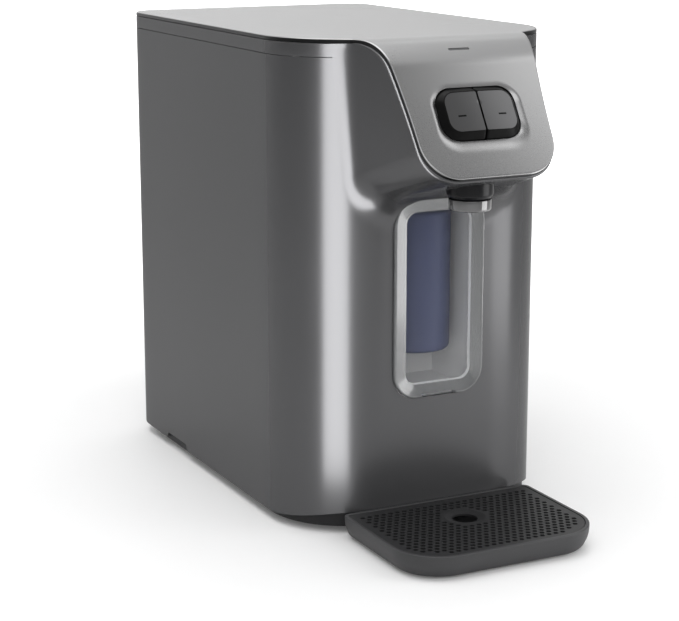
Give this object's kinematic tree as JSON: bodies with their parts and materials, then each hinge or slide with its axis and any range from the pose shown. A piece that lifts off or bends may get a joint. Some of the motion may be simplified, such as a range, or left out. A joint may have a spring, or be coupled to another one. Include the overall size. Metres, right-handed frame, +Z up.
{
  "type": "water purifier dispenser",
  "caption": "Countertop water purifier with rounded cabinet, hooded key fascia, spout, clear filter window and a pull-out drip tray with a perforated grille.",
  "frame": {"origin": "middle of the footprint on the table, with the tray in", "axes": "+Z up, front towards -Y, +X to the right seen from the front"},
  "size_m": [0.229, 0.472, 0.381],
  "materials": {
    "shell": "fine satin graphite",
    "cover": "satin silver grey",
    "charcoal": "fine moulded grain",
    "grille": "fine moulded grain",
    "rubber": "matt",
    "key": "polished black",
    "lens": "frosted",
    "clear": "clear polished plastic",
    "cartridge": "satin slate blue",
    "white": "moulded",
    "foam": "foam beads",
    "steel": "brushed",
    "aluminium": "extruded",
    "board": "lacquered",
    "black": "moulded",
    "hose": "translucent white"
  },
  "bodies": {
    "root": {"body_shell": "shell", "top_cover": "cover", "rear_panel": "charcoal", "connector_box": "charcoal", "base_plate": "charcoal", "rubber_feet": "rubber", "top_band": "shell", "key_carrier": "charcoal", "left_key_spring": "steel", "right_key_spring": "steel", "control_board": "board", "key_switches": "black", "carrier_screws": "steel", "indicator_lens": "lens", "spout_stem": "charcoal", "spout_collar": "charcoal", "spout_nozzle": "charcoal", "filter_niche": "white", "filter_head": "white", "filter_seal": "rubber", "cold_tank": "steel", "tank_lid": "white", "tank_foam": "foam", "foam_lid": "foam", "tank_stand": "charcoal", "cold_block": "aluminium", "cooling_module": "white", "heat_sink": "aluminium", "fan_frame": "black", "fan_screws": "steel", "valve_bracket": "steel", "inlet_valve": "white", "chilled_valve": "white", "natural_valve": "white", "power_supply": "steel", "inlet_fitting": "white", "cable_gland": "rubber", "inlet_hose": "hose", "feed_hose": "hose", "tank_hose": "hose", "chilled_hose": "hose", "natural_hose": "hose", "cold_spout_hose": "hose", "natural_spout_hose": "hose", "rear_screws": "steel", "base_screws": "steel"},
    "left_key": {"left_key": "key"},
    "right_key": {"right_key": "key"},
    "drip_tray": {"drip_tray": "charcoal"},
    "drip_grille": {"drip_grille": "grille"},
    "filter_window": {"filter_window": "clear"},
    "filter_cartridge": {"filter_cartridge": "cartridge"},
    "fan_rotor": {"fan_rotor": "charcoal"}
  },
  "joints": [
    {"name": "left_key_press", "type": "slide", "parent": "root", "child": "left_key", "axis": [0, 0.848, -0.5299], "range_m": [0, 0.0025], "stiffness_N_per_m": 400, "springref_m": -0.002, "deforming": ["left_key_spring"]},
    {"name": "right_key_press", "type": "slide", "parent": "root", "child": "right_key", "axis": [0, 0.848, -0.5299], "range_m": [0, 0.0025], "stiffness_N_per_m": 400, "springref_m": -0.002, "deforming": ["right_key_spring"]},
    {"name": "drip_tray_slide", "type": "slide", "parent": "root", "child": "drip_tray", "axis": [0, -1, 0], "range_m": [0, 0.13]},
    {"name": "drip_grille_lift", "type": "slide", "parent": "drip_tray", "child": "drip_grille", "axis": [0, 0, 1], "range_m": [0, 0.06]},
    {"name": "filter_window_off", "type": "slide", "parent": "root", "child": "filter_window", "axis": [0, -1, 0], "range_m": [0, 0.025]},
    {"name": "filter_twist", "type": "hinge", "parent": "root", "child": "filter_cartridge", "pos_m": [0, -0.08, 0.175], "axis": [0, 0, 1], "range_deg": [0, 90]},
    {"name": "fan_spin", "type": "hinge", "parent": "root", "child": "fan_rotor", "pos_m": [0, 0.2172, 0.168], "axis": [0, 1, 0], "continuous": true}
  ]
}
